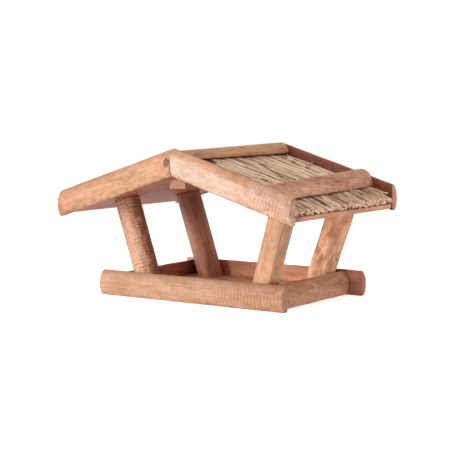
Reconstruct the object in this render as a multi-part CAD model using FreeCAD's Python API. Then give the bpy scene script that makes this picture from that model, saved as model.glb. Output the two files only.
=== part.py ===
import FreeCAD, Part
import math
import os

Vec = FreeCAD.Vector

# A rustic bird table head: a shallow tray of half-round rails, four leaning posts and a low
# thatched gable roof. Millimetres. X runs along the tray's long side, -Y is the front, +Z is up,
# and the origin is the middle of the floor board's underside.

# Tray. The rails are half-round logs with the sawn face inwards and the lower edge planed flat.
floor_thickness = 18.0
rail_planed = 11.0
tray_depth = 249.6           # between the sawn faces of the front and back rails
tray_width = 363.4           # between the sawn faces of the side rails, halfway back
tray_shift = 3.0             # the tray's middle lies this far right of the bolt hole
left_rail_skew = 12.7        # how much further left the left rail is at its back end
right_rail_skew = -8.0       # the same for the right rail, measured to the right
front_rail = {"height": 50.0, "bulge": 18.1, "past_left": 41.5, "past_right": 14.5}
back_rail = {"height": 51.0, "bulge": 19.4, "past_left": 15.2, "past_right": 28.0}
left_rail = {"height": 49.0, "bulge": 19.2}
right_rail = {"height": 47.0, "bulge": 19.2}
bolt_hole_diameter = 9.0

# Posts. Each foot stands in from its side rail and the post leans outwards from there.
post_seat = 1.0              # depth of the flat that the rail presses into a round post
post_front_left = {"diameter": 50.4, "foot_inset": 43.4, "lean": 18.7, "flat": 0.0}
post_front_right = {"diameter": 50.4, "foot_inset": 36.9, "lean": 16.9, "flat": 17.8}
post_back_left = {"diameter": 51.3, "foot_inset": 50.2, "lean": 18.7, "flat": 0.0}
post_back_right = {"diameter": 52.6, "foot_inset": 42.4, "lean": 21.1, "flat": 0.0}

# Roof. Verges are half-round logs on edge, cut plumb at both ends.
ridge_height = 302.6         # top of the verges at the ridge
roof_pitch = 16.7            # degrees
roof_depth = 352.2           # between the sawn faces of the front and back verges
verge_height = 52.7          # measured plumb
verge_bulge = 18.6
verge_planed = 11.0
verge_run = {"front_left": 295.6, "front_right": 276.9, "back_left": 292.0, "back_right": 269.5}
board_lift = 2.0             # the boards' underside above the verges' lower edge
board_thickness = 9.5
board_run = {"left": (280.0, 281.0), "right": (269.0, 268.0)}     # at the front, at the back
beam_width = 38.0
beam_depth = 21.0            # at its two side faces, below the boards
beam_setback = 6.0           # its ends stop short of the verges

# Thatch, the half-round over the ridge and the half-round battens across the reeds.
thatch_thickness = 19.4
thatch_past_board = 3.0
cap_bed = 2.0                # how far the cap is pressed into the crest of the thatch
cap_width = 41.0
cap_bulge = (17.0, 22.0)     # at the front, at the back
batten_width = (50.0, 54.0)
batten_bulge = (20.5, 28.0)
batten_middle = {"left": (206.0, 203.0), "right": (215.5, 197.0)}

# Small-headed wire nails: shank diameter and length from the top of the head.
rail_nail = (1.8, 45.0)
board_nail = (1.6, 35.0)
beam_nail = (1.6, 28.0)
cap_nail = (1.8, 68.0)
batten_nail = (1.8, 49.5)
head_ratio = 1.6             # head diameter over shank diameter
point_ratio = 2.0            # length of the point over shank diameter
head_thickness = 1.0
head_proud = 0.25            # above the highest point of the wood that it is driven into

# Where the nails are. Shares are of the length of the piece, measured from its middle.
corner_nail_heights = (15.0, 36.0)
corner_nail_inset = 8.6      # from the side rails' sawn faces
long_rail_nail_shares = (-0.3, 0.0, 0.3)
side_rail_nail_shares = (-0.25, 0.25)
post_nail_height = 37.0
post_head_nail_spacing = 20.0
beam_nail_shares = (-0.35, 0.0, 0.35)
beam_nail_inset = 9.5        # from the ridge line
beam_nail_stagger = 9.5      # the left row is this far forward, and the right row this far back
verge_nail_run = {"left": (61.0, 232.0), "right": (107.0, 225.5)}
verge_nail_height = 14.0     # heads above the verges' lower edge
verge_nail_dip = 0.25        # they slope down this much per millimetre, into the board's edge
nail_end_margin = 50.0       # the outer cap and batten nails from the verges' sawn faces

slope = math.tan(math.radians(roof_pitch))
half_depth = tray_depth / 2
half_roof = roof_depth / 2
sign = {"left": -1, "right": 1}
plumb = 1 / math.cos(math.radians(roof_pitch))

verge_bottom = ridge_height - verge_height
board_bottom = verge_bottom + board_lift
board_top = board_bottom + board_thickness * plumb
thatch_top = board_top + thatch_thickness * plumb


def bridge(outline_a, outline_b):
    return Part.makeLoft([outline_a, outline_b], True, True)


def outline(points):
    return Part.makePolygon(points + [points[0]])


def slab(points_a, points_b):
    # a solid with flat faces between two outlines that have the same number of corners
    faces = [Part.Face(outline(points_a)), Part.Face(outline(points_b))]
    for i in range(len(points_a)):
        side = [points_a[i - 1], points_a[i], points_b[i], points_b[i - 1]]
        faces.append(Part.Face(outline(side)))
    return Part.Solid(Part.Shell(faces))


def half_round(width, planed, bulge):
    # the half ellipse's half width, and its middle measured from the planed edge
    if planed <= 0:
        return width / 2, width / 2
    half = width / (1 + math.sqrt(1 - (planed / bulge) ** 2))
    return half, width - half


def reach(width, bulge, planed, height):
    # how far the round face stands out from the sawn face, at a height up the section
    half, middle = half_round(width, planed, bulge)
    return bulge * math.sqrt(1 - ((height - middle) / half) ** 2)


def d_outline(corner, up, out, width, bulge, planed):
    # A half-round section: sawn face from corner along up, round face towards out.
    half, middle = half_round(width, planed, bulge)
    last = -math.asin(middle / half)
    steps = 12
    angles = [math.pi / 2 + (last - math.pi / 2) * i / steps for i in range(steps + 1)]
    round_points = [corner + up * (middle + half * math.sin(a)) + out * (bulge * math.cos(a))
                    for a in angles]
    curve = Part.BSplineCurve()
    curve.interpolate(round_points)
    edges = [curve.toShape()]
    if planed > 0:
        edges.append(Part.LineSegment(round_points[-1], corner).toShape())
    edges.append(Part.LineSegment(corner, round_points[0]).toShape())
    return Part.Wire(edges)


def side_face(side, y):
    # x of a side rail's sawn face at depth y
    skew = {"left": left_rail_skew, "right": right_rail_skew}[side]
    return tray_shift + sign[side] * (tray_width / 2 + skew * y / tray_depth)


def make_long_rail(rail, end):
    # the front rail (end -1) or the back rail (end +1), bulging away from the tray
    y = end * half_depth
    left = side_face("left", y) - left_rail["bulge"] - rail["past_left"]
    right = side_face("right", y) + right_rail["bulge"] + rail["past_right"]
    ends = [d_outline(Vec(x, y, 0), Vec(0, 0, 1), Vec(0, end, 0), rail["height"], rail["bulge"],
                      rail_planed)
            for x in (left, right)]
    return bridge(*ends)


def make_side_rail(rail, side):
    ends = [d_outline(Vec(side_face(side, y), y, 0), Vec(0, 0, 1), Vec(sign[side], 0, 0),
                      rail["height"], rail["bulge"], rail_planed)
            for y in (-half_depth, half_depth)]
    return bridge(*ends)


def make_floor():
    order = (("left", -half_depth), ("right", -half_depth), ("right", half_depth), ("left", half_depth))
    corners = [Vec(side_face(side, y), y, 0) for side, y in order]
    board = Part.Face(outline(corners)).extrude(Vec(0, 0, floor_thickness))
    return board.cut(Part.makeCylinder(bolt_hole_diameter / 2, floor_thickness))


def post_axis(post, side, end):
    # foot point on the floor and the unit vector up the post
    out = post["flat"] if post["flat"] else post["diameter"] / 2 - post_seat
    y = end * (half_depth - out)
    foot = Vec(side_face(side, y) - sign[side] * post["foot_inset"], y, floor_thickness)
    lean = math.radians(post["lean"])
    return foot, Vec(sign[side] * math.sin(lean), 0, math.cos(lean))


def make_post(post, side, end):
    # a round post between floor and roof board, with two sawn faces where it has a flat
    radius = post["diameter"] / 2
    spare = radius
    stick = Part.makeCylinder(radius, ridge_height + spare, Vec(0, 0, -spare))
    if post["flat"]:
        size = 2 * radius
        low_x = -size if side == "right" else -post["flat"]
        low_y = -post["flat"] if end < 0 else -size
        keep = Part.makeBox(size + post["flat"], size + post["flat"], ridge_height + 2 * spare,
                            Vec(low_x, low_y, -spare))
        stick = stick.common(keep)
    foot, up = post_axis(post, side, end)
    stick.rotate(Vec(0, 0, 0), Vec(0, 1, 0), sign[side] * post["lean"])
    stick.translate(foot)
    return stick.common(under_roof)


def make_under_roof():
    # the space between the floor and the roof boards
    wide = max(verge_run.values())
    low = board_bottom - slope * wide
    points = [Vec(-wide, -half_roof, floor_thickness), Vec(wide, -half_roof, floor_thickness),
              Vec(wide, -half_roof, low), Vec(0, -half_roof, board_bottom), Vec(-wide, -half_roof, low)]
    return Part.Face(outline(points)).extrude(Vec(0, roof_depth, 0))


def make_beam():
    # the ridge beam's top is bevelled to both roof boards
    half = beam_width / 2
    front = beam_setback - half_roof
    top = board_bottom - slope * half
    points = [Vec(-half, front, top - beam_depth), Vec(half, front, top - beam_depth),
              Vec(half, front, top), Vec(0, front, board_bottom), Vec(-half, front, top)]
    return Part.Face(outline(points)).extrude(Vec(0, -2 * front, 0))


def make_verge(side, end):
    run = verge_run[("front_" if end < 0 else "back_") + side]
    ends = [d_outline(Vec(sign[side] * x, end * half_roof, verge_bottom - slope * x), Vec(0, 0, 1),
                      Vec(0, end, 0), verge_height, verge_bulge, verge_planed)
            for x in (0, run)]
    return bridge(*ends)


def make_layer(side, bottom, top, runs):
    # a sloping slab on one side of the ridge, mitred plumb at the ridge and square at the eave
    tilt = math.sin(math.radians(roof_pitch))
    back = (top - bottom) / plumb * tilt
    outlines = []
    for y, run in ((-half_roof, runs[0]), (half_roof, runs[1])):
        low_run = run - back
        points = [(0, bottom), (low_run, bottom - slope * low_run), (run, top - slope * run), (0, top)]
        outlines.append([Vec(sign[side] * x, y, z) for x, z in points])
    return slab(*outlines)


def make_cap():
    # the half-round over the ridge lies sawn face down on the crest of the thatch
    low = thatch_top - cap_bed
    ends = [d_outline(Vec(-cap_width / 2, y, low), Vec(1, 0, 0), Vec(0, 0, 1), cap_width, bulge, 0)
            for y, bulge in zip((-half_roof, half_roof), cap_bulge)]
    return bridge(*ends)


def make_batten(side):
    down = Vec(sign[side] / plumb, 0, -slope / plumb)
    out = Vec(sign[side] * slope / plumb, 0, 1 / plumb)
    ends = []
    for i, y in enumerate((-half_roof, half_roof)):
        middle = batten_middle[side][i]
        corner = Vec(sign[side] * middle, y, thatch_top - slope * middle) - down * (batten_width[i] / 2)
        ends.append(d_outline(corner, down, out, batten_width[i], batten_bulge[i], 0))
    return bridge(*ends)


def nail(kind, head, direction):
    # a wire nail whose head stands a little proud of the point head on the wood's face
    diameter, length = kind
    way = Vec(direction).normalize()
    top = head - way * head_proud
    straight = length - diameter * point_ratio
    disc = Part.makeCylinder(diameter * head_ratio / 2, head_thickness, top, way)
    shank = Part.makeCylinder(diameter / 2, straight, top, way)
    point = Part.makeCone(diameter / 2, 0, length - straight, top + way * straight, way)
    return disc.fuse([shank, point]).removeSplitter()


def make_corner_nails():
    # through the long rails into the ends of the side rails
    nails = []
    for rail, end in ((front_rail, -1), (back_rail, 1)):
        for side in sign:
            x = side_face(side, end * half_depth) + sign[side] * corner_nail_inset
            for z in corner_nail_heights:
                y = end * (half_depth + reach(rail["height"], rail["bulge"], rail_planed, z))
                nails.append(nail(rail_nail, Vec(x, y, z), Vec(0, -end, 0)))
    return nails


def make_floor_nails():
    # through all four rails into the floor board's edges
    z = floor_thickness / 2
    nails = []
    for rail, end in ((front_rail, -1), (back_rail, 1)):
        y = end * (half_depth + reach(rail["height"], rail["bulge"], rail_planed, z))
        for share in long_rail_nail_shares:
            nails.append(nail(rail_nail, Vec(tray_shift + tray_width * share, y, z), Vec(0, -end, 0)))
    for rail, side in ((left_rail, "left"), (right_rail, "right")):
        for share in side_rail_nail_shares:
            y = tray_depth * share
            x = side_face(side, y) + sign[side] * reach(rail["height"], rail["bulge"], rail_planed, z)
            nails.append(nail(rail_nail, Vec(x, y, z), Vec(-sign[side], 0, 0)))
    return nails


def make_post_foot_nails():
    # through the long rails into the posts
    z = post_nail_height
    nails = []
    for post, side, end in posts:
        rail = front_rail if end < 0 else back_rail
        foot, up = post_axis(post, side, end)
        x = foot.x + up.x / up.z * (z - foot.z)
        y = end * (half_depth + reach(rail["height"], rail["bulge"], rail_planed, z))
        nails.append(nail(rail_nail, Vec(x, y, z), Vec(0, -end, 0)))
    return nails


def make_post_head_nails():
    # two through the roof board into the top of each post, along the post
    nails = []
    for post, side, end in posts:
        foot, up = post_axis(post, side, end)
        # the post's axis meets the board's top face this far up
        far = (board_top - foot.z - slope * abs(foot.x)) / (up.z + slope * abs(up.x))
        head = foot + up * far
        for step in (-0.5, 0.5):
            nails.append(nail(board_nail, head + Vec(0, post_head_nail_spacing * step, 0), up * -1))
    return nails


def make_beam_nails():
    # through the roof boards into the ridge beam, the two sides staggered
    height = board_top - slope * beam_nail_inset
    nails = []
    for side in sign:
        for share in beam_nail_shares:
            y = roof_depth * share + sign[side] * beam_nail_stagger
            nails.append(nail(beam_nail, Vec(sign[side] * beam_nail_inset, y, height), Vec(0, 0, -1)))
    return nails


def make_verge_nails():
    # through the verges into the edges of the roof boards
    out = half_roof + reach(verge_height, verge_bulge, verge_planed, verge_nail_height)
    nails = []
    for end in (-1, 1):
        for side in sign:
            for run in verge_nail_run[side]:
                head = Vec(sign[side] * run, end * out, verge_bottom + verge_nail_height - slope * run)
                nails.append(nail(board_nail, head, Vec(0, -end, -verge_nail_dip)))
    return nails


def nail_rows():
    # three places along the roof's depth, as shares from its front
    first = nail_end_margin / roof_depth
    return (first, 0.5, 1 - first)


def between(pair, share):
    return pair[0] + (pair[1] - pair[0]) * share


def make_cap_nails():
    # down through cap, thatch and board joint into the ridge beam
    nails = []
    for share in nail_rows():
        head = Vec(0, roof_depth * (share - 0.5), thatch_top - cap_bed + between(cap_bulge, share))
        nails.append(nail(cap_nail, head, Vec(0, 0, -1)))
    return nails


def make_batten_nails():
    # square to the slope through batten and thatch into the board
    nails = []
    for side in sign:
        out = Vec(sign[side] * slope / plumb, 0, 1 / plumb)
        for share in nail_rows():
            middle = between(batten_middle[side], share)
            foot = Vec(sign[side] * middle, roof_depth * (share - 0.5), thatch_top - slope * middle)
            nails.append(nail(batten_nail, foot + out * between(batten_bulge, share), out * -1))
    return nails


def without(piece, tools):
    # cuts away from a piece each tool that reaches into it
    near = [tool for tool in tools if piece.BoundBox.intersect(tool.BoundBox)]
    return piece.cut(near) if near else piece


posts = [(post_front_left, "left", -1), (post_front_right, "right", -1),
         (post_back_left, "left", 1), (post_back_right, "right", 1)]
under_roof = make_under_roof()

wood = {
    "tray_front_rail": make_long_rail(front_rail, -1),
    "tray_back_rail": make_long_rail(back_rail, 1),
    "tray_left_rail": make_side_rail(left_rail, "left"),
    "tray_right_rail": make_side_rail(right_rail, "right"),
    "floor_board": make_floor(),
    "ridge_beam": make_beam(),
    "ridge_cap": make_cap(),
}
long_rails = [wood["tray_front_rail"], wood["tray_back_rail"]]
for post, side, end in posts:
    name = "post_" + ("front_" if end < 0 else "back_") + side
    wood[name] = without(make_post(post, side, end), long_rails)
    wood[name.replace("post", "verge")] = make_verge(side, end)
for side in sign:
    thatch_run = [run + thatch_past_board for run in board_run[side]]
    thatch = make_layer(side, board_top, thatch_top, thatch_run)
    wood["roof_board_" + side] = make_layer(side, board_bottom, board_top, board_run[side])
    wood["thatch_batten_" + side] = make_batten(side)
    wood["thatch_" + side] = without(thatch, [wood["ridge_cap"]])

nails = {
    "tray_corner_nails": make_corner_nails(),
    "floor_nails": make_floor_nails(),
    "post_foot_nails": make_post_foot_nails(),
    "post_head_nails": make_post_head_nails(),
    "ridge_beam_nails": make_beam_nails(),
    "verge_nails": make_verge_nails(),
    "ridge_cap_nails": make_cap_nails(),
    "batten_nails": make_batten_nails(),
}
all_nails = [one for group in nails.values() for one in group]

os.makedirs("parts", exist_ok=True)
for name, piece in wood.items():
    without(piece, all_nails).exportStep("parts/" + name + ".step")
for name, group in nails.items():
    Part.makeCompound(group).exportStep("parts/" + name + ".step")
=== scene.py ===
import bpy
import math
import random
from mathutils import Matrix, Vector, noise


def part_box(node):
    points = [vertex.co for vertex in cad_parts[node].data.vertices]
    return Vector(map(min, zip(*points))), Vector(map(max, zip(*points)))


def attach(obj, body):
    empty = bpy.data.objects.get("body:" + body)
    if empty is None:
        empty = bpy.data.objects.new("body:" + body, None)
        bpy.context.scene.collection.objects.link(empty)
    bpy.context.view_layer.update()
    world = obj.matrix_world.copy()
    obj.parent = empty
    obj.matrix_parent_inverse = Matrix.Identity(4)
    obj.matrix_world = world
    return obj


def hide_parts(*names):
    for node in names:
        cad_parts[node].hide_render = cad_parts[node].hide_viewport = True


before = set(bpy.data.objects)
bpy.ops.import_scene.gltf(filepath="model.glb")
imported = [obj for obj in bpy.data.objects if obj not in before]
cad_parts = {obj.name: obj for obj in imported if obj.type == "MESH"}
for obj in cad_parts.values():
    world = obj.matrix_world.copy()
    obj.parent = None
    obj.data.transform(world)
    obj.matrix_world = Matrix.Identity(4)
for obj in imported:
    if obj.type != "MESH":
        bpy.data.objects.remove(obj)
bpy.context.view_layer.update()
random.seed(7)
roofPitch = math.radians(16.7)
across = -math.pi / 2       # turns a piece that lies front to back onto the pattern's X
fullTurn = 2 * math.pi


def pickOnly(piece):
    bpy.ops.object.select_all(action="DESELECT")
    piece.select_set(True)
    bpy.context.view_layer.objects.active = piece


def standFor(piece, node):
    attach(piece, "root")
    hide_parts(node)


def tinted(base, shares):
    return tuple(value * share for value, share in zip(base, shares))


# small helpers for the material nodes

def addNode(tree, kind, inputs=None, **settings):
    node = tree.nodes.new(kind)
    for key, value in settings.items():
        setattr(node, key, value)
    for key, value in (inputs or {}).items():
        if isinstance(value, bpy.types.NodeSocket):
            tree.links.new(value, node.inputs[key])
        else:
            node.inputs[key].default_value = value
    return node


def addRamp(tree, factor, stops):
    ramp = addNode(tree, "ShaderNodeValToRGB", {"Fac": factor})
    line = ramp.color_ramp
    while len(line.elements) < len(stops):
        line.elements.new(0.5)
    for element, (place, colour) in zip(line.elements, stops):
        element.position = place
        element.color = (*colour, 1)
    return ramp.outputs["Color"]


def addMaths(tree, operation, first, second=0.0, third=0.0):
    inputs = {0: first, 1: second, 2: third}
    return addNode(tree, "ShaderNodeMath", inputs, operation=operation).outputs[0]


def addRange(tree, value, low, high, atLow=0.0, atHigh=1.0):
    inputs = {"Value": value, "From Min": low, "From Max": high, "To Min": atLow, "To Max": atHigh}
    return addNode(tree, "ShaderNodeMapRange", inputs).outputs[0]


def addMix(tree, factor, first, second, blend="MIX"):
    mix = addNode(tree, "ShaderNodeMix", {"Factor": factor}, data_type="RGBA", blend_type=blend)
    for socket, value in ((mix.inputs[6], first), (mix.inputs[7], second)):
        if isinstance(value, bpy.types.NodeSocket):
            tree.links.new(value, socket)
        else:
            socket.default_value = (*value, 1)
    return mix.outputs[2]


def addVectorMaths(tree, operation, first, second=(0, 0, 0)):
    # lengths and the like come out as a value, the rest as a vector
    result = "Value" if operation in ("LENGTH", "DISTANCE", "DOT_PRODUCT") else "Vector"
    inputs = {0: first, 1: second}
    return addNode(tree, "ShaderNodeVectorMath", inputs, operation=operation).outputs[result]


def addNoise(tree, vector, size, stretch=(1, 1, 1), detail=3.0, rough=0.55, twist=0.0):
    # size is the grain of the noise in metres, stretched along each axis
    scale = [1 / (size * share) for share in stretch]
    scaled = addNode(tree, "ShaderNodeMapping", {"Vector": vector, "Scale": scale}).outputs[0]
    inputs = {"Vector": scaled, "Scale": 1.0, "Detail": detail, "Roughness": rough, "Distortion": twist}
    return addNode(tree, "ShaderNodeTexNoise", inputs).outputs["Fac"]


def addShade(tree, amount, colour, tone):
    # darkens or tints the colour by a tone, as far as the amount says
    return addMix(tree, amount, colour, addMix(tree, 1.0, colour, tone, "MULTIPLY"))


def newMaterial(name):
    material = bpy.data.materials.new(name)
    material.use_nodes = True
    tree = material.node_tree
    tree.nodes.clear()
    shader = addNode(tree, "ShaderNodeBsdfPrincipled")
    addNode(tree, "ShaderNodeOutputMaterial", {"Surface": shader.outputs[0]})
    return material, tree, shader


# stained wood, with the grain along the pattern's own X

woodLook = {
    "turn": (0, 0, 0),      # turns the piece's length onto X
    "base": (0.66, 0.35, 0.22), "dark": (0.66, 0.55, 0.49), "light": (1.16, 1.22, 1.27),
    "patches": 1.0, "mottle": 0.5, "streaks": 0.5, "specks": 0.45, "rings": 0.3,
    "ripple": 0.0, "rippleRun": (-1.0, 1.0), "ripplePeriod": 0.0040,
    "bark": 0.0,
    "band": None,           # from and to along the length, above what height, its tone
    "fades": (),            # each from, to along the length, its tone, and the way its faces look or None
    "faces": (),            # each a way, from, to what share of facing it, how ragged its border, its tone
    "marks": (),            # each a kind, its centre, radius and stretch along each axis
}
wood = {
    "shift": (0.37, 0.21, 0.13),        # each piece is cut from a place this much further on
    "patchStops": (0.28, 0.50, 0.74),   # where the patches are dark, plain and light
    "ringSpacing": 0.0031, "ringBend": 0.006,
    "rippleBend": 11.0, "rippleIn": 0.03, "rippleOut": 0.01, "ripplePatch": (0.40, 0.56),
    "barkIslands": (0.43, 0.64), "barkTint": (1.60, 1.85, 1.95),
    "chip": 0.006, "bandEdge": 0.0008, "bandIn": 0.002, "bandOut": 0.09,
    "blotchSpan": (0.3, 0.7), "fadeFacing": (0.2, 0.7), "roughness": (0.70, 0.52), "gloss": 0.35,
    "streakRelief": 0.35, "speckRelief": 0.25, "rippleRelief": 0.7, "bump": 0.7, "relief": 0.0007,
}
# each pattern in the wood: the size of its grain, its stretch, detail, roughness and twist
grains = {
    "patches": (0.028, (3.5, 1, 1), 4.0, 0.6),
    "blotches": (0.0085, (1.8, 1, 1), 5.0, 0.65),
    "streaks": (0.0024, (28, 1, 1), 3.0, 0.6, 0.6),
    "specks": (0.0011, (3, 1, 1), 2.0, 0.5),
    "ringBend": (0.03, (5, 1, 1), 2.0),
    "rippleBend": (0.018, (1.4, 1, 1), 3.0, 0.55),
    "ripplePatch": (0.022, (1.2, 1, 1), 3.0, 0.6),
    "bark": (0.016, (2.2, 1, 1), 5.0, 0.6),
    "chips": (0.007, (2.2, 1, 1), 5.0, 0.7),
}
# what each pattern does to the colour under it, from its low to its high places
grainTones = {
    "blotches": [(0.36, (0.74, 0.64, 0.58)), (0.60, (1.07, 1.08, 1.09))],
    "streaks": [(0.34, (0.64, 0.56, 0.51)), (0.56, (1.03, 1.03, 1.03))],
    "specks": [(0.30, (0.60, 0.48, 0.42)), (0.43, (1, 1, 1))],
    "rings": [(0.05, (0.70, 0.58, 0.52)), (0.5, (1, 1, 1))],
    "ripple": [(0.04, (0.70, 0.58, 0.52)), (0.40, (0.97, 0.95, 0.93)), (0.95, (1.12, 1.12, 1.12))],
}
markKinds = {
    "knot": {"colour": (0.095, 0.04, 0.028), "strength": 0.92, "soft": 0.75, "wobble": 0.35},
    # gap: a painted shadow in a joint
    "gap": {"colour": (0.08, 0.035, 0.025), "strength": 0.85, "soft": 0.6, "wobble": 0.25},
    "red": {"colour": (0.50, 0.17, 0.10), "strength": 0.45, "soft": 0.0, "wobble": 0.8},
    "scratch": {"colour": (0.95, 0.78, 0.66), "strength": 0.9, "soft": 0.3, "wobble": 0.4},
    # corner: a painted shadow where parts meet or overhang
    "corner": {"colour": (0.09, 0.03, 0.035), "strength": 0.8, "soft": 0.25, "wobble": 0.15},
    "shade": {"colour": (0.20, 0.09, 0.06), "strength": 0.5, "soft": 0.0, "wobble": 0.85},
}
markEdge = {"grain": 1.2, "span": (0.2, 0.8)}       # the grain as a share of the mark's radius
# the paler heart inside a knot's dark ring
knotHeart = {"colour": (0.26, 0.09, 0.055), "strength": 0.40, "from": 0.25, "to": 0.50}


def addMark(tree, colour, place, mark):
    kind, centre, radius, stretch = mark
    look = markKinds[kind]
    offset = addVectorMaths(tree, "SUBTRACT", place, centre)
    shaped = addVectorMaths(tree, "MULTIPLY", offset, [1 / share for share in stretch])
    wobble = addNoise(tree, place, radius * markEdge["grain"])
    wobble = addRange(tree, wobble, *markEdge["span"], 1 - look["wobble"], 1 + look["wobble"])
    away = addMaths(tree, "MULTIPLY", addVectorMaths(tree, "LENGTH", shaped), wobble)
    eye = addRange(tree, away, radius * look["soft"], radius, look["strength"], 0.0)
    colour = addMix(tree, eye, colour, look["colour"])
    if kind == "knot":
        start, end = radius * knotHeart["from"], radius * knotHeart["to"]
        heart = addRange(tree, away, start, end, knotHeart["strength"], 0.0)
        colour = addMix(tree, heart, colour, knotHeart["colour"])
    return colour


def addFacing(tree, way):
    normal = addNode(tree, "ShaderNodeNewGeometry").outputs["Normal"]
    return addVectorMaths(tree, "DOT_PRODUCT", normal, way)


def shadeFace(tree, colour, blotches, face):
    # tones whatever looks one way, with a border as ragged as the blotches
    way, low, high, ragged, tone = face
    border = addRange(tree, blotches, *wood["blotchSpan"], ragged, -ragged)
    facing = addMaths(tree, "ADD", addFacing(tree, way), border)
    return addShade(tree, addRange(tree, facing, low, high), colour, tone)


def fadeLength(tree, colour, length, fade):
    # tones the wood from one place along its length to another, all round or only where it looks one way
    startAt, endAt, tone, way = fade
    amount = addRange(tree, length, startAt, endAt)
    if way:
        facing = addRange(tree, addFacing(tree, way), *wood["fadeFacing"])
        amount = addMaths(tree, "MULTIPLY", amount, facing)
    return addShade(tree, amount, colour, tone)


def addGrain(tree, amount, colour, along, kind):
    # gives the colour under one pattern, and the pattern itself
    pattern = addNoise(tree, along, *grains[kind])
    return addMix(tree, amount, colour, addRamp(tree, pattern, grainTones[kind]), "MULTIPLY"), pattern


def addRings(tree, amount, colour, along, axes, pith):
    # growth rings about the heart of the log, seen on sawn faces and ends
    flat = addNode(tree, "ShaderNodeCombineXYZ", {"Y": axes["Y"], "Z": axes["Z"]}).outputs[0]
    fromPith = addVectorMaths(tree, "DISTANCE", flat, (0, pith[1], pith[2]))
    bend = addMaths(tree, "MULTIPLY", addNoise(tree, along, *grains["ringBend"]), wood["ringBend"])
    wave = addMaths(tree, "MULTIPLY", addMaths(tree, "ADD", fromPith, bend), fullTurn / wood["ringSpacing"])
    rings = addRange(tree, addMaths(tree, "SINE", wave), -1, 1)
    return addMix(tree, amount, colour, addRamp(tree, rings, grainTones["rings"]), "MULTIPLY")


def addRipple(tree, colour, along, length, look):
    # marks across the log from the peeling knife, in patches, and how far they stand out
    bend = addNoise(tree, along, *grains["rippleBend"])
    wave = addMaths(tree, "MULTIPLY", length, fullTurn / look["ripplePeriod"])
    ridges = addMaths(tree, "SINE", addMaths(tree, "MULTIPLY_ADD", bend, wood["rippleBend"], wave))
    start, end = look["rippleRun"]
    begun = addRange(tree, length, start - wood["rippleIn"], start + wood["rippleIn"])
    notOver = addRange(tree, length, end - wood["rippleOut"], end + wood["rippleOut"], 1.0, 0.0)
    patches = addRange(tree, addNoise(tree, along, *grains["ripplePatch"]), *wood["ripplePatch"])
    amount = addMaths(tree, "MULTIPLY", patches, addMaths(tree, "MULTIPLY", begun, notOver))
    amount = addMaths(tree, "MULTIPLY", amount, look["ripple"])
    tone = addRamp(tree, addRange(tree, ridges, -1, 1), grainTones["ripple"])
    return addMix(tree, amount, colour, tone, "MULTIPLY"), addMaths(tree, "MULTIPLY", ridges, amount)


def addBark(tree, colour, along, look):
    # islands of inner bark that the knife left
    islands = addNoise(tree, along, *grains["bark"])
    islands = addRange(tree, islands, *wood["barkIslands"], 0.0, look["bark"])
    return addMix(tree, islands, colour, tinted(look["base"], wood["barkTint"]))


def addBand(tree, colour, along, axes, band):
    # a strip of painted shade along the upper edge, with a chipped border
    startAt, endAt, above, tone = band
    chips = addNoise(tree, along, *grains["chips"])
    chips = addMaths(tree, "MULTIPLY_ADD", chips, wood["chip"], -wood["chip"] / 2)
    edge = addMaths(tree, "ADD", axes["Z"], chips)
    strip = addRange(tree, edge, above - wood["bandEdge"], above + wood["bandEdge"])
    begun = addRange(tree, axes["X"], startAt - wood["bandIn"], startAt)
    ragged = addMaths(tree, "ADD", axes["X"], chips)
    notOver = addRange(tree, ragged, endAt - wood["bandOut"], endAt, 1.0, 0.0)
    strip = addMaths(tree, "MULTIPLY", strip, addMaths(tree, "MULTIPLY", notOver, begun))
    return addShade(tree, strip, colour, tone)


def makeWood(name, number, pith, changes):
    look = {**woodLook, **changes}
    base = look["base"]
    material, tree, shader = newMaterial(name)
    place = addNode(tree, "ShaderNodeTexCoord").outputs["Object"]
    turned = addNode(tree, "ShaderNodeMapping", {"Vector": place, "Rotation": look["turn"]}).outputs[0]
    along = addVectorMaths(tree, "ADD", turned, [number * shift for shift in wood["shift"]])
    axes = addNode(tree, "ShaderNodeSeparateXYZ", {"Vector": turned}).outputs

    patches = addNoise(tree, along, *grains["patches"])
    tones = (tinted(base, look["dark"]), base, tinted(base, look["light"]))
    patchTone = addRamp(tree, patches, list(zip(wood["patchStops"], tones)))
    colour = addMix(tree, look["patches"], base, patchTone)
    # where the stain took unevenly, then the long streaks of the grain, then pores
    colour, blotches = addGrain(tree, look["mottle"], colour, along, "blotches")
    colour, streaks = addGrain(tree, look["streaks"], colour, along, "streaks")
    colour, specks = addGrain(tree, look["specks"], colour, along, "specks")
    colour = addRings(tree, look["rings"], colour, along, axes, pith)
    colour, ripple = addRipple(tree, colour, along, axes["X"], look)
    if look["bark"]:
        colour = addBark(tree, colour, along, look)
    if look["band"]:
        colour = addBand(tree, colour, along, axes, look["band"])
    for fade in look["fades"]:
        colour = fadeLength(tree, colour, axes["X"], fade)
    for face in look["faces"]:
        colour = shadeFace(tree, colour, blotches, face)
    for mark in look["marks"]:
        colour = addMark(tree, colour, place, mark)

    tree.links.new(colour, shader.inputs["Base Color"])
    roughness = addRange(tree, blotches, *wood["blotchSpan"], *wood["roughness"])
    tree.links.new(roughness, shader.inputs["Roughness"])
    shader.inputs["Specular IOR Level"].default_value = wood["gloss"]
    height = addMaths(tree, "MULTIPLY", specks, wood["speckRelief"])
    height = addMaths(tree, "MULTIPLY_ADD", streaks, wood["streakRelief"], height)
    height = addMaths(tree, "MULTIPLY_ADD", ripple, wood["rippleRelief"], height)
    inputs = {"Height": height, "Strength": wood["bump"], "Distance": wood["relief"]}
    bump = addNode(tree, "ShaderNodeBump", inputs)
    tree.links.new(bump.outputs[0], shader.inputs["Normal"])
    return material


def pithOf(node, turn):
    # the middle of the piece, in the turned frame of its pattern
    low, high = (Vector(corner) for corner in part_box(node))
    middle = (low + high) / 2
    for axis, angle in zip("XYZ", turn):
        middle = Matrix.Rotation(angle, 3, axis) @ middle
    return middle


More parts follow.
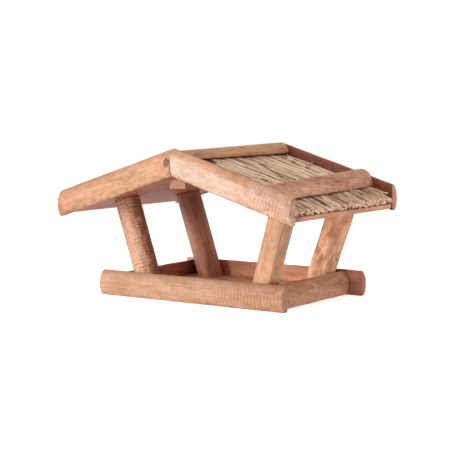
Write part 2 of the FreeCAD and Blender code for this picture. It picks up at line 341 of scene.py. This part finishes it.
# logs: each a copy of its CAD solid, given the swell and wear of a peeled log

paintedUnderShade = ((0, 0, -1), 0.35, 0.95, 0.2, (0.62, 0.50, 0.47))      # painted shade on the downward faces of every log
logs = {
    "tray_front_rail": {"base": (0.465, 0.262, 0.160), "patches": 0.7, "mottle": 0.45, "streaks": 0.35,
                        "ripple": 0.6, "rippleRun": (-0.01, 0.245), "ripplePeriod": 0.0076,
                        "fades": [(0.05, 0.20, (0.85, 0.78, 0.72), None)],
                        "marks": [("shade", (-0.134, -0.138, 0.047), 0.006, (1.6, 1, 1))]},
    "tray_back_rail": {"base": (0.68, 0.335, 0.195),
                       # painted shadow of the right rail on the front face of the right end, painted shade
                       # on the right end face, and a painted shadow in the back left corner
                       "fades": [(0.12, 0.18, (0.44, 0.34, 0.32), (0, -1, 0)),
                                 (-0.160, -0.175, (0.80, 0.90, 0.95), None)],
                       "faces": [paintedUnderShade, ((1, 0, 0), 0.5, 0.9, 0.0, (0.62, 0.48, 0.46))],
                       "marks": [("corner", (-0.140, 0.104, 0.028), 0.050, (1, 0.35, 1.3))]},
    "tray_left_rail": {"turn": (0, 0, across), "base": (0.52, 0.28, 0.17),
                       # painted shadow on the inner face towards the back left corner
                       "fades": [(0.045, 0.105, (0.22, 0.18, 0.26), (1, 0, 0))],
                       "faces": [paintedUnderShade, ((1, 0, 0), 0.5, 0.9, 0.0, (1.15, 0.90, 0.95))]},
    "tray_right_rail": {"turn": (0, 0, across), "base": (0.47, 0.235, 0.13),
                        "faces": [paintedUnderShade, ((0, 0, 1), 0.2, 0.8, 0.1, (1.25, 1.25, 1.15))],
                        "marks": [("scratch", (0.203, -0.005, 0.037), 0.006, (1, 0.9, 0.35)),
                                  ("scratch", (0.203, 0.000, 0.034), 0.006, (1, 0.3, 1.1))]},
    "post_front_left": {"turn": (0, math.radians(108.7), 0), "base": (0.56, 0.325, 0.212), "ripple": 0.75,
                        "rippleRun": (0.02, 0.30), "ripplePeriod": 0.0072, "mottle": 0.6, "patches": 0.8,
                        # painted shadow of the roof at the top, and painted shade on the side that looks
                        # right and back, with a ragged border
                        "fades": [(0.13, 0.23, (0.72, 0.62, 0.58), None)],
                        "faces": [paintedUnderShade, ((0.80, 0.60, 0.0), 0.30, 0.62, 0.40, (0.70, 0.50, 0.46))]},
    "post_front_right": {"turn": (0, math.radians(73.1), 0), "base": (0.49, 0.270, 0.152), "mottle": 0.6,
                         "patches": 0.4,
                         # painted light on the lower part, most on the side that looks right
                         "fades": [(0.16, 0.08, (1.15, 1.13, 1.10), None),
                                   (0.16, 0.06, (1.35, 1.32, 1.28), (1, 0, 0))]},
    "post_back_left": {"turn": (0, math.radians(108.7), 0), "base": (0.55, 0.27, 0.172), "streaks": 0.9,
                       # painted shadow of the roof at the top
                       "fades": [(0.15, 0.22, (0.52, 0.42, 0.44), None)]},
    "post_back_right": {"turn": (0, math.radians(68.9), 0), "base": (0.60, 0.315, 0.185), "bark": 1.0,
                        # painted shadow of the roof at the top
                        "fades": [(0.10, 0.20, (0.70, 0.58, 0.52), None)]},
    "verge_front_left": {"turn": (0, roofPitch, 0), "base": (0.465, 0.258, 0.140), "patches": 0.6,
                         "mottle": 0.75, "streaks": 0.3, "specks": 0.7,
                         "fades": [(-0.10, -0.24, (0.92, 0.84, 0.84), None)],
                         "marks": [("knot", (-0.0075, -0.193, 0.277), 0.0088, (1, 2, 1)),
                                   ("shade", (-0.288, -0.193, 0.179), 0.007, (1, 2, 1)),
                                   ("red", (-0.276, -0.193, 0.184), 0.010, (1, 2, 1)),
                                   ("red", (-0.035, -0.193, 0.262), 0.014, (1.6, 1, 0.8)),
                                   # painted shadow in the mitre joint at the ridge
                                   ("gap", (0.001, -0.190, 0.268), 0.016, (0.15, 3, 1.4))]},
    "verge_front_right": {"turn": (0, -roofPitch, 0), "base": (0.54, 0.375, 0.285), "patches": 0.6,
                          "mottle": 0.6, "streaks": 0.25, "rings": 0.1,
                          "ripple": 0.65, "rippleRun": (0.10, 0.24), "ripplePeriod": 0.0082,
                          "fades": [(0.02, 0.20, (0.96, 0.83, 0.73), None)],
                          # painted shade along the top of the verge
                          "band": (-0.5, 0.17, 0.2772, (0.97, 0.78, 0.61)),
                          "marks": [("red", (0.160, -0.190, 0.209), 0.014, (2.6, 1, 0.5)),
                                    ("red", (0.100, -0.192, 0.232), 0.010, (1.6, 1, 0.5)),
                                    # painted shadow in the mitre joint at the ridge
                                    ("gap", (0.001, -0.190, 0.268), 0.016, (0.12, 3, 1.4))]},
    "verge_back_left": {"turn": (0, roofPitch, 0), "base": (0.52, 0.28, 0.165),
                        # painted shade on the inner face that looks forward
                        "faces": [paintedUnderShade, ((0, -1, 0), 0.6, 0.9, 0.0, (0.60, 0.42, 0.40))]},
    "verge_back_right": {"turn": (0, -roofPitch, 0), "base": (0.50, 0.245, 0.15),
                         # painted shade on the inner face that looks forward, darkest at its lower end
                         "fades": [(0.17, 0.22, (0.60, 0.45, 0.42), (0, -1, 0))],
                         "faces": [paintedUnderShade, ((0, -1, 0), 0.6, 0.9, 0.0, (0.50, 0.28, 0.29))]},
    "ridge_cap": {"turn": (0, 0, across), "base": (0.68, 0.37, 0.21), "streaks": 0.6, "patches": 0.6},
    "thatch_batten_left": {"turn": (0, 0, across), "base": (0.66, 0.36, 0.22)},
    "thatch_batten_right": {"turn": (0, 0, across), "base": (0.66, 0.355, 0.22), "mottle": 0.8,
                            "streaks": 0.35},
}
logWear = {
    "merge": 0.00001, "voxel": 0.0014, "softening": 2, "middle": 0.35,
    "swell": 0.0012, "swellSize": 0.055, "dents": 0.0005, "dentSize": 0.014,
}


def makeTexture(name, size, depth=1):
    texture = bpy.data.textures.new(name, "CLOUDS")
    texture.noise_scale = size
    texture.noise_depth = depth
    return texture


def applyAll(piece):
    pickOnly(piece)
    for modifier in list(piece.modifiers):
        bpy.ops.object.modifier_apply(modifier=modifier.name)


def makeLog(node, textures):
    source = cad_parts[node]
    piece = bpy.data.objects.new(node + "_log", source.data.copy())
    bpy.context.scene.collection.objects.link(piece)
    piece.data.materials.clear()
    pickOnly(piece)
    bpy.ops.object.mode_set(mode="EDIT")
    bpy.ops.mesh.select_all(action="SELECT")
    bpy.ops.mesh.remove_doubles(threshold=logWear["merge"])
    bpy.ops.object.mode_set(mode="OBJECT")
    remesh = piece.modifiers.new("Remesh", "REMESH")
    remesh.mode = "VOXEL"
    remesh.voxel_size = logWear["voxel"]
    soften = piece.modifiers.new("Soften", "SMOOTH")
    soften.iterations = logWear["softening"]
    for texture, strength in textures:
        wear = piece.modifiers.new("Wear", "DISPLACE")
        wear.texture = texture
        wear.texture_coords = "GLOBAL"
        wear.strength = strength
        wear.mid_level = logWear["middle"]
    applyAll(piece)
    bpy.ops.object.shade_smooth()
    return piece


wearTextures = [(makeTexture("logSwell", logWear["swellSize"]), logWear["swell"]),
                (makeTexture("logDents", logWear["dentSize"], 2), logWear["dents"])]
for number, (node, look) in enumerate(logs.items()):
    log = makeLog(node, wearTextures)
    pith = pithOf(node, look.get("turn", (0, 0, 0)))
    log.data.materials.append(makeWood(node + "Wood", number, pith, {"faces": [paintedUnderShade], **look}))
    standFor(log, node)
print("logs done", len(logs))

# sawn boards keep their CAD shape

# painted shade on the downward faces of the boards
paintedBoardUnderShade = ((0, 0, -1), 0.6, 0.9, 0.0, (0.70, 0.52, 0.41))
boardHeart = Vector((0, -0.01, -0.06))      # from the middle of a board to the heart of its tree
boards = {
    "floor_board": {"base": (0.78, 0.42, 0.26), "rings": 0.5},
    "roof_board_left": {"turn": (0, 0, across), "base": (0.46, 0.175, 0.072), "rings": 0.5,
                        "faces": [paintedBoardUnderShade]},
    "roof_board_right": {"turn": (0, 0, across), "base": (0.58, 0.29, 0.165), "rings": 0.5,
                         "faces": [paintedBoardUnderShade],
                         # painted shadow on the front edge of the board under the front right verge
                         "marks": [("corner", (0.270, -0.178, 0.198), 0.065, (1, 1, 1))]},
    "ridge_beam": {"turn": (0, 0, across), "base": (0.35, 0.160, 0.080), "rings": 0.5, "specks": 1.0},
}
for number, (node, look) in enumerate(boards.items(), len(logs)):
    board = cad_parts[node]
    pith = pithOf(node, look.get("turn", (0, 0, 0))) + boardHeart
    board.data.materials.clear()
    board.data.materials.append(makeWood(node + "Wood", number, pith, look))
print("boards done", len(boards))

# reeds

reeds = {
    "sides": 6, "rings": 4, "shapes": 8,
    "hollow": 0.22, "hollowDepth": 0.02, "ringReach": 0.03, "wander": 0.45, "smooth": math.radians(62),
    "radius": (0.0011, 0.0024), "topRadius": (0.0010, 0.0026),
    "layers": 6, "thick": 0.0194, "edgeGap": 0.001,
    "capBed": 0.0020,       # how far the ridge cap is pressed into the crest of the thatch
    "spacing": 0.0040, "topSpacing": 0.0043, "within": (0.05, 0.95),
    "drift": 0.016, "driftSize": 0.045, "driftSteps": (2.3, 3.0),
    "sway": 0.0055, "strays": 0.20, "straySway": 0.026, "spin": (0, 6.28),
    "unlevel": (-0.0008, 0.0009), "headSlip": (0.0, 0.003), "lateHeads": 0.5, "headSpread": (0.0, 0.040),
    "clump": 0.005, "clumpSize": 0.016, "clumpSteps": (1.7, 5.0), "tipSpread": 0.0030,
    "slant": 0.25,          # how much further back a straw ends for its depth in the thatch
    "squeeze": 0.60,        # the share of their height over the board that they keep at the eave
    "shadePerLayer": 0.7,           # how much more painted shade each layer gets than the one above
    "overlap": 0.004, "loose": 0.0014,
}
brokenReeds = {
    "share": 0.30, "layers": 2, "snap": (0.15, 0.85), "gap": (-0.006, 0.016),
    "lift": 0.0008, "slip": 0.0015, "thinner": 0.9,
}
# straws that have come loose: start and end, each (down the slope, along the ridge, above the thatch);
# the left side has them the other way round along the ridge
looseStraws = [
    ((0.100, 0.118, 0.0010), (0.084, 0.1735, 0.0045)),
    ((0.036, 0.150, 0.0010), (0.104, 0.119, 0.0016)),
    ((0.020, 0.170, 0.0005), (0.060, 0.135, 0.0014)),
    ((0.062, -0.120, 0.0010), (0.165, -0.060, 0.0012)),
    ((0.050, 0.020, 0.0010), (0.150, -0.015, 0.0015)),
    ((0.235, 0.080, 0.0010), (0.282, 0.100, 0.0010)),
    ((0.238, 0.150, 0.0010), (0.280, 0.158, 0.0022)),
]


def selectRing(mesh, height, reach):
    # in object mode, picks the vertices that lie within reach of a height
    for vertex in mesh.vertices:
        vertex.select = abs(vertex.co.z - height) < reach


def makeReedShape(number):
    # one reed a metre long and a metre across, with a hollow cut tip
    sides = reeds["sides"]
    bpy.ops.mesh.primitive_cylinder_add(vertices=sides, radius=0.5, depth=1.0, location=(0, 0, 0.5))
    reed = bpy.context.active_object
    reed.name = "reedShape" + str(number)
    bpy.ops.object.transform_apply(location=True)
    mesh = reed.data
    bpy.ops.object.mode_set(mode="EDIT")
    bpy.ops.mesh.select_mode(type="FACE")
    bpy.ops.mesh.select_all(action="DESELECT")
    bpy.ops.object.mode_set(mode="OBJECT")
    for face in mesh.polygons:
        face.select = face.normal.z > 0.9
    bpy.ops.object.mode_set(mode="EDIT")
    bpy.ops.mesh.inset(thickness=reeds["hollow"])
    bpy.ops.mesh.extrude_region_move(TRANSFORM_OT_translate={"value": (0, 0, -reeds["hollowDepth"])})
    bpy.ops.mesh.select_mode(type="VERT")
    for ring in range(1, reeds["rings"]):
        bpy.ops.mesh.select_all(action="SELECT")
        bpy.ops.mesh.bisect(plane_co=(0, 0, ring / reeds["rings"]), plane_no=(0, 0, 1))
    # each ring is pushed a little off the straight line
    for ring in range(1, reeds["rings"] + 1):
        bpy.ops.mesh.select_all(action="DESELECT")
        bpy.ops.object.mode_set(mode="OBJECT")
        selectRing(mesh, ring / reeds["rings"], reeds["ringReach"])
        bpy.ops.object.mode_set(mode="EDIT")
        push = [random.uniform(-1, 1) * reeds["wander"] for axis in range(2)]
        bpy.ops.transform.translate(value=(*push, 0))
    bpy.ops.object.mode_set(mode="OBJECT")
    return reed


reedShapes = [makeReedShape(number) for number in range(reeds["shapes"])]


def layReed(start, end, radius, depth):
    shape = random.choice(reedShapes)
    reed = bpy.data.objects.new("reed", shape.data.copy())
    bpy.context.scene.collection.objects.link(reed)
    line = end - start
    spin = Matrix.Rotation(random.uniform(*reeds["spin"]), 4, "Z")
    turn = line.to_track_quat("Z", "Y").to_matrix().to_4x4() @ spin
    size = Matrix.Diagonal((2 * radius, 2 * radius, line.length, 1))
    reed.matrix_world = Matrix.Translation(start) @ turn @ size
    tint = reed.data.color_attributes.new("reedTone", "FLOAT_COLOR", "POINT")
    tone = random.random()
    hollowAt = 1 - reeds["hollowDepth"]
    for vertex, value in zip(reed.data.vertices, tint.data):
        isHollow = abs(vertex.co.z - hollowAt) < reeds["hollowDepth"] / 2
        # the third channel carries the painted shade of the straw's layer
        value.color = (tone, vertex.co.z, depth, 1.0 if isHollow else 0.0)
    return reed


def joinReeds(laid, node):
    bpy.ops.mesh.primitive_plane_add(size=0.001)
    bundle = bpy.context.active_object
    bundle.name = node + "_reeds"
    bundle.data.clear_geometry()
    bpy.ops.object.select_all(action="DESELECT")
    for reed in laid:
        reed.select_set(True)
    bundle.select_set(True)
    bpy.context.view_layer.objects.active = bundle
    bpy.ops.object.join()
    pickOnly(bundle)
    bpy.ops.object.shade_smooth_by_angle(angle=reeds["smooth"])
    return bundle


def thatchSide(node, batten, side):
    low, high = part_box(node)
    run = max(abs(low[0]), abs(high[0]))
    down = Vector((side * math.cos(roofPitch), 0, -math.sin(roofPitch)))
    out = Vector((side * math.sin(roofPitch), 0, math.cos(roofPitch)))
    crest = Vector((0, 0, high[2] + reeds["capBed"]))
    length = run / math.cos(roofPitch)
    halfWidth = high[1] - reeds["edgeGap"]
    battenLow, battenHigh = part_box(batten)
    knee = abs(battenLow[0] + battenHigh[0]) / 2 / math.cos(roofPitch)

    def spot(far, y, lift):
        return crest + down * far + out * lift + Vector((0, y, 0))

    def waver(kind, y, layer):
        # comes and goes along the ridge, each layer and side in its own way
        layerStep, sideStep = reeds[kind + "Steps"]
        place = Vector((y / reeds[kind + "Size"], layer * layerStep, side * sideStep))
        return noise.noise(place) * reeds[kind]

    laid = []
    step = reeds["thick"] / reeds["layers"]
    for layer in range(reeds["layers"]):
        isTop = layer == reeds["layers"] - 1
        depth = step * (reeds["layers"] - 1 - layer)
        # painted shade for the layers under the top
        shade = min(1.0, reeds["shadePerLayer"] * (reeds["layers"] - 1 - layer))
        count = int(2 * halfWidth / reeds["topSpacing" if isTop else "spacing"])
        for i in range(count):
            radius = random.uniform(*reeds["topRadius" if isTop else "radius"])
            room = halfWidth - radius
            y = -room + (i + random.uniform(*reeds["within"])) * 2 * room / count
            # neighbours lean the same way, and strays lie across them
            lean = reeds["straySway" if random.random() < reeds["strays"] else "sway"]
            sway = waver("drift", y, layer) + random.gauss(0, lean)
            yEnd = min(max(y + sway, -room), room)
            # every straw tops out at about its layer's own height, a little up or down
            rise = -depth - radius + random.uniform(*reeds["unlevel"])
            fall = -depth - radius + random.uniform(*reeds["unlevel"])
            head = (depth + radius) * math.tan(roofPitch) + random.uniform(*reeds["headSlip"])
            if isTop and random.random() < reeds["lateHeads"]:
                head += random.uniform(*reeds["headSpread"])
            clump = waver("clump", yEnd, layer)
            # the eave is trimmed to a slant, so the lower straws end further back
            tip = length + clump + random.gauss(0, reeds["tipSpread"]) - depth * reeds["slant"]
            yKnee = y + (yEnd - y) * knee / length
            canBreak = layer >= reeds["layers"] - brokenReeds["layers"]
            if canBreak and random.random() < brokenReeds["share"]:
                # snapped part of the way down, with the lower length slipped aside
                snap = random.uniform(*brokenReeds["snap"])
                yMid = y + (yKnee - y) * snap
                far = head + (knee - head) * snap
                farLow = far + random.uniform(*brokenReeds["gap"])
                above = spot(far, yMid, rise + brokenReeds["lift"])
                laid.append(layReed(spot(head, y, rise), above, radius, shade))
                yLow = min(max(yMid + random.gauss(0, brokenReeds["slip"]), -room), room)
                thinner = radius * brokenReeds["thinner"]
                laid.append(layReed(spot(farLow, yLow, fall), spot(knee, yLow, fall), thinner, shade))
            else:
                laid.append(layReed(spot(head, y, rise), spot(knee, yKnee, fall), radius, shade))
            # below the batten every straw bends down towards the board
            bent = max((fall + reeds["thick"]) * reeds["squeeze"], radius) - reeds["thick"]
            start = spot(knee - reeds["overlap"], yKnee, fall)
            laid.append(layReed(start, spot(tip, yEnd, bent), radius, shade))
    for (far, y, lift), (farEnd, yEnd, liftEnd) in looseStraws:
        start, end = spot(far, side * y, lift), spot(farEnd, side * yEnd, liftEnd)
        laid.append(layReed(start, end, reeds["loose"], 0.0))
    bundle = joinReeds(laid, node)
    standFor(bundle, node)
    print(node, "reeds", len(laid))
    return bundle


reedLook = {
    # straws differ: a few are dark or greenish, most are pale
    "tones": [(0.0, (0.26, 0.13, 0.08)), (0.12, (0.48, 0.30, 0.19)), (0.40, (0.68, 0.47, 0.32)),
              (0.72, (0.92, 0.69, 0.50)), (0.90, (0.76, 0.57, 0.42)), (1.0, (0.60, 0.50, 0.30))],
    "fibres": (0.0007, (30, 1, 6), 2.0), "fibreTones": [(0.3, (0.72, 0.64, 0.56)), (0.6, (1, 1, 1))],
    "weather": (0.022, (1, 1, 1), 3.0),
    "weatherTones": [(0.35, (0.80, 0.72, 0.66)), (0.62, (1.10, 1.06, 0.98))],
    "fibreShare": 0.5, "weatherShare": 0.6,
    "jointSpread": 13.0, "jointAway": (0.002, 0.008), "jointShare": 0.6, "joint": (0.22, 0.12, 0.07),
    # painted shade on the deeper straws, fading out at the cut tips
    "shadeFadesAt": (0.86, 0.96), "tipShade": 0.10, "shadeTone": (0.32, 0.23, 0.18),
    "tipFrom": (0.94, 0.99), "tipShare": 0.6, "tip": (0.95, 0.63, 0.47),
    # painted shade inside the hollow of each cut tip
    "hollowFrom": (0.3, 1.0), "hollowShare": 0.9, "hollow": (0.30, 0.14, 0.085),
    "roughness": 0.55, "bump": 0.5, "relief": 0.0003,
}


def makeReedMaterial():
    material, tree, shader = newMaterial("driedReed")
    tint = addNode(tree, "ShaderNodeAttribute", attribute_name="reedTone")
    parts = addNode(tree, "ShaderNodeSeparateColor", {"Color": tint.outputs["Color"]})
    place = addNode(tree, "ShaderNodeTexCoord").outputs["Object"]
    tone, along, depth = parts.outputs[0], parts.outputs[1], parts.outputs[2]
    colour = addRamp(tree, tone, reedLook["tones"])
    fibres = addNoise(tree, place, *reedLook["fibres"])
    fibreTone = addRamp(tree, fibres, reedLook["fibreTones"])
    colour = addMix(tree, reedLook["fibreShare"], colour, fibreTone, "MULTIPLY")
    weather = addRamp(tree, addNoise(tree, place, *reedLook["weather"]), reedLook["weatherTones"])
    colour = addMix(tree, reedLook["weatherShare"], colour, weather, "MULTIPLY")
    # each straw has a joint somewhere along it
    joint = addMaths(tree, "FRACT", addMaths(tree, "MULTIPLY", tone, reedLook["jointSpread"]))
    away = addMaths(tree, "ABSOLUTE", addMaths(tree, "SUBTRACT", along, joint))
    joint = addRange(tree, away, *reedLook["jointAway"], reedLook["jointShare"], 0.0)
    colour = addMix(tree, joint, colour, reedLook["joint"])
    # straws deeper in the bundle get painted shade, which shows between the top straws, except at their cut
    # tips
    layerShade = addRange(tree, along, *reedLook["shadeFadesAt"], 1.0, reedLook["tipShade"])
    colour = addShade(tree, addMaths(tree, "MULTIPLY", depth, layerShade), colour, reedLook["shadeTone"])
    tip = addRange(tree, along, *reedLook["tipFrom"], 0.0, reedLook["tipShare"])
    colour = addMix(tree, tip, colour, reedLook["tip"])
    # painted shade inside the hollow of each cut tip
    hollow = addRange(tree, tint.outputs["Alpha"], *reedLook["hollowFrom"], 0.0, reedLook["hollowShare"])
    colour = addMix(tree, hollow, colour, reedLook["hollow"])
    tree.links.new(colour, shader.inputs["Base Color"])
    shader.inputs["Roughness"].default_value = reedLook["roughness"]
    inputs = {"Height": fibres, "Strength": reedLook["bump"], "Distance": reedLook["relief"]}
    bump = addNode(tree, "ShaderNodeBump", inputs)
    tree.links.new(bump.outputs[0], shader.inputs["Normal"])
    return material


reedMaterial = makeReedMaterial()
roofSides = {"thatch_left": ("thatch_batten_left", -1), "thatch_right": ("thatch_batten_right", 1)}
for node, (batten, side) in roofSides.items():
    bundle = thatchSide(node, batten, side)
    bundle.data.materials.clear()
    bundle.data.materials.append(reedMaterial)
for shape in reedShapes:
    bpy.data.objects.remove(shape)
print("reeds done")

# nails

nailLook = {
    "spots": 0.0009, "tones": [(0.35, (0.07, 0.035, 0.022)), (0.65, (0.20, 0.12, 0.09))],
    "span": (0.2, 0.8), "roughness": (0.40, 0.65), "metal": 0.6,
}


def makeNailSteel():
    material, tree, shader = newMaterial("nailSteel")
    place = addNode(tree, "ShaderNodeTexCoord").outputs["Object"]
    dull = addNoise(tree, place, nailLook["spots"])
    tree.links.new(addRamp(tree, dull, nailLook["tones"]), shader.inputs["Base Color"])
    roughness = addRange(tree, dull, *nailLook["span"], *nailLook["roughness"])
    tree.links.new(roughness, shader.inputs["Roughness"])
    shader.inputs["Metallic"].default_value = nailLook["metal"]
    return material


nailSteel = makeNailSteel()
for name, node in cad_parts.items():
    if name.endswith("_nails"):
        node.data.materials.clear()
        node.data.materials.append(nailSteel)
print("nails done")

# studio

studio = {
    "camera": (1.6187, -2.1381, 0.3969), "aim": (0.00376, -0.02054, 0.13945), "roll": -0.01203,
    "lens": 105.92, "film": 36,
    "keyFrom": (-1.2, -2.7, 1.0), "keySize": 1.4, "keyPower": 82.0,
    "fillFrom": (1.3, -0.9, 2.6), "fillSize": 2.2, "fillPower": 28.0,
    "lightAim": (0, 0, 0.15), "sky": 0.45,
    "floorSize": 400, "floorDrop": 0.0008, "floorGlow": 0.57, "floorRoughness": 0.9,
    "paintGrain": 0.5, "paintTones": [(0.3, (0.95, 0.95, 0.95)), (0.7, (0.98, 0.98, 0.98))],
}


def addSoftbox(name, place, size, power):
    bpy.ops.object.light_add(type="AREA", location=place)
    light = bpy.context.active_object
    light.name = name
    light.data.shape = "SQUARE"
    light.data.size = size
    light.data.energy = power
    beam = Vector(studio["lightAim"]) - Vector(place)
    light.rotation_euler = beam.to_track_quat("-Z", "Y").to_euler()


def makeSky():
    # full white to the camera, dimmer as a light
    world = bpy.data.worlds.new("paleStudio")
    bpy.context.scene.world = world
    world.use_nodes = True
    tree = world.node_tree
    tree.nodes.clear()
    white = (1, 1, 1, 1)
    seen = addNode(tree, "ShaderNodeBackground", {"Color": white, "Strength": 1.0}).outputs[0]
    lit = addNode(tree, "ShaderNodeBackground", {"Color": white, "Strength": studio["sky"]}).outputs[0]
    rays = addNode(tree, "ShaderNodeLightPath")
    both = addNode(tree, "ShaderNodeMixShader", {0: rays.outputs["Is Camera Ray"], 1: lit, 2: seen})
    addNode(tree, "ShaderNodeOutputWorld", {"Surface": both.outputs[0]})


def makeFloor():
    bpy.ops.mesh.primitive_plane_add(size=studio["floorSize"], location=(0, 0, -studio["floorDrop"]))
    floor = bpy.context.active_object
    floor.name = "paleFloor"
    material, tree, shader = newMaterial("palePaint")
    place = addNode(tree, "ShaderNodeTexCoord").outputs["Object"]
    paint = addRamp(tree, addNoise(tree, place, studio["paintGrain"]), studio["paintTones"])
    tree.links.new(paint, shader.inputs["Base Color"])
    shader.inputs["Roughness"].default_value = studio["floorRoughness"]
    shader.inputs["Emission Color"].default_value = (1, 1, 1, 1)
    shader.inputs["Emission Strength"].default_value = studio["floorGlow"]
    floor.data.materials.append(material)


def makeCamera():
    bpy.ops.object.camera_add(location=studio["camera"])
    camera = bpy.context.active_object
    camera.data.lens = studio["lens"]
    camera.data.sensor_width = studio["film"]
    camera.data.dof.use_dof = False
    gaze = Vector(studio["aim"]) - Vector(studio["camera"])
    camera.rotation_euler = gaze.to_track_quat("-Z", "Y").to_euler()
    camera.rotation_euler.rotate_axis("Z", studio["roll"])
    bpy.context.scene.camera = camera


addSoftbox("keyLight", studio["keyFrom"], studio["keySize"], studio["keyPower"])
addSoftbox("fillLight", studio["fillFrom"], studio["fillSize"], studio["fillPower"])
makeSky()
makeFloor()
makeCamera()
bpy.context.scene.view_settings.view_transform = "Standard"
print("studio done")
